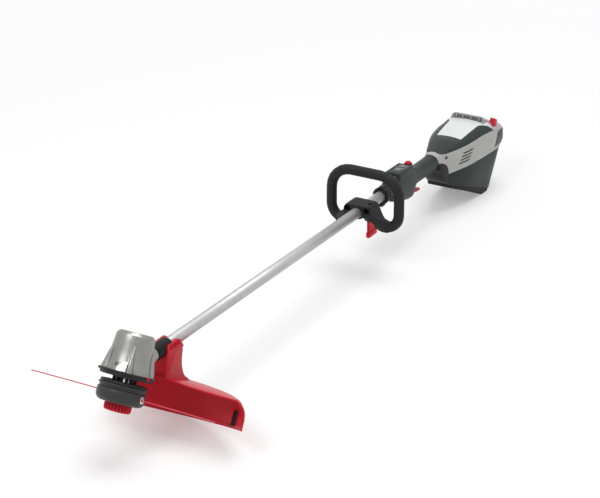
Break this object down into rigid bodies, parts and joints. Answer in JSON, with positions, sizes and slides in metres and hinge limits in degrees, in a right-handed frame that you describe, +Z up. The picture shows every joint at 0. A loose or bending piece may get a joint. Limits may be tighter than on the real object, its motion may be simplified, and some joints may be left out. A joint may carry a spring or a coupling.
{
  "type": "cordless string trimmer",
  "caption": "Battery string trimmer with a tilted motor head, bump-feed line spool, curved guard, straight tube, loop handle, switch grip and slanted battery housing.",
  "frame": {"origin": "centre of the rear foot's flat face, on the floor", "axes": "+X along the tube from the cutting head to the battery, +Y to the user's right, +Z up"},
  "size_m": [1.6416, 0.4304, 0.2539],
  "materials": {
    "dark_green_plastic": "fine moulded texture",
    "light_grey_plastic": "fine moulded texture",
    "white_plastic": "satin",
    "red_plastic": "semi-gloss",
    "black_plastic": "moulded",
    "black_rubber": "soft matt",
    "tube_aluminium": "satin anodised",
    "cast_aluminium": "painted casting",
    "steel": "machined",
    "blade_steel": "blackened",
    "copper_winding": "varnished winding",
    "nylon_line": "extruded",
    "grey_plastic": "moulded",
    "circuit_board": "lacquered"
  },
  "bodies": {
    "machine": {"main_tube": "tube_aluminium", "tube_sleeve": "black_rubber", "motor_dome": "cast_aluminium", "base_plate": "black_plastic", "lower_bearing": "steel", "upper_bearing": "steel", "stator": "copper_winding", "guard": "red_plastic", "cutter_blade": "blade_steel", "motor_cable": "black_rubber", "nose_ring": "black_plastic", "handle_shell_left": "dark_green_plastic", "handle_shell_right": "dark_green_plastic", "display_panel": "grey_plastic", "trigger_pin": "steel", "trigger_spring": "steel", "switch_block": "black_plastic", "top_cover": "dark_green_plastic", "top_panel": "white_plastic", "side_band_left": "light_grey_plastic", "side_band_right": "light_grey_plastic", "battery_cradle": "black_plastic", "lower_case": "dark_green_plastic", "front_cover": "black_plastic", "rear_bumper": "grey_plastic", "rear_foot": "black_rubber", "terminal_block": "black_plastic", "controller_board": "circuit_board"},
    "cutting_head": {"spindle": "steel", "rotor_bell": "steel", "fan_flange": "black_plastic", "spool_cup": "black_plastic", "eyelet_left": "steel", "eyelet_right": "steel", "line_left": "nylon_line", "line_right": "nylon_line"},
    "bump_feed": {"bump_knob": "red_plastic", "line_reel": "black_plastic", "line_winding": "nylon_line", "knob_spring": "steel"},
    "loop_handle": {"loop_handle": "black_rubber", "handle_clamp": "black_plastic", "lever_pin": "steel", "clamp_bolt_left": "steel", "clamp_bolt_right": "steel"},
    "clamp_lever": {"clamp_lever": "red_plastic"},
    "trigger": {"trigger": "red_plastic"},
    "lock_off_button": {"lock_off_button": "red_plastic"},
    "power_button": {"power_button": "grey_plastic"},
    "battery": {"battery_body": "black_plastic", "battery_cap": "grey_plastic"},
    "release_latch": {"release_latch": "red_plastic"}
  },
  "joints": [
    {"name": "head_spin", "type": "hinge", "parent": "machine", "child": "cutting_head", "pos_m": [-1.49324, 0, 0.17073], "axis": [0.5178, 0, 0.8555], "continuous": true},
    {"name": "knob_bump", "type": "slide", "parent": "cutting_head", "child": "bump_feed", "axis": [0.5178, 0, 0.8555], "range_m": [0, 0.004], "stiffness_N_per_m": 1500, "springref_m": -0.004},
    {"name": "trigger_pull", "type": "hinge", "parent": "machine", "child": "trigger", "pos_m": [-0.31413, 0, 0.11539], "axis": [0, -1, 0], "range_deg": [0, 14], "stiffness_Nm_per_rad": 0.5, "springref_deg": -11.46},
    {"name": "lock_off_press", "type": "slide", "parent": "machine", "child": "lock_off_button", "axis": [-0.0206, 0, -0.9998], "range_m": [0, 0.004], "stiffness_N_per_m": 600, "springref_m": -0.002},
    {"name": "power_press", "type": "slide", "parent": "machine", "child": "power_button", "axis": [-0.0206, 0, -0.9998], "range_m": [0, 0.0015], "stiffness_N_per_m": 800, "springref_m": -0.001},
    {"name": "handle_slide", "type": "slide", "parent": "machine", "child": "loop_handle", "axis": [0.9998, 0, -0.0206], "range_m": [-0.12, 0.025]},
    {"name": "lever_open", "type": "hinge", "parent": "loop_handle", "child": "clamp_lever", "pos_m": [-0.50515, 0, 0.11633], "axis": [-0.9998, 0, 0.0206], "range_deg": [0, 85]},
    {"name": "battery_slide", "type": "slide", "parent": "machine", "child": "battery", "axis": [0.4723, 0, 0.8815], "range_m": [0, 0.19]},
    {"name": "latch_press", "type": "slide", "parent": "machine", "child": "release_latch", "axis": [-0.4723, 0, -0.8815], "range_m": [0, 0.003], "stiffness_N_per_m": 500, "springref_m": -0.002}
  ]
}
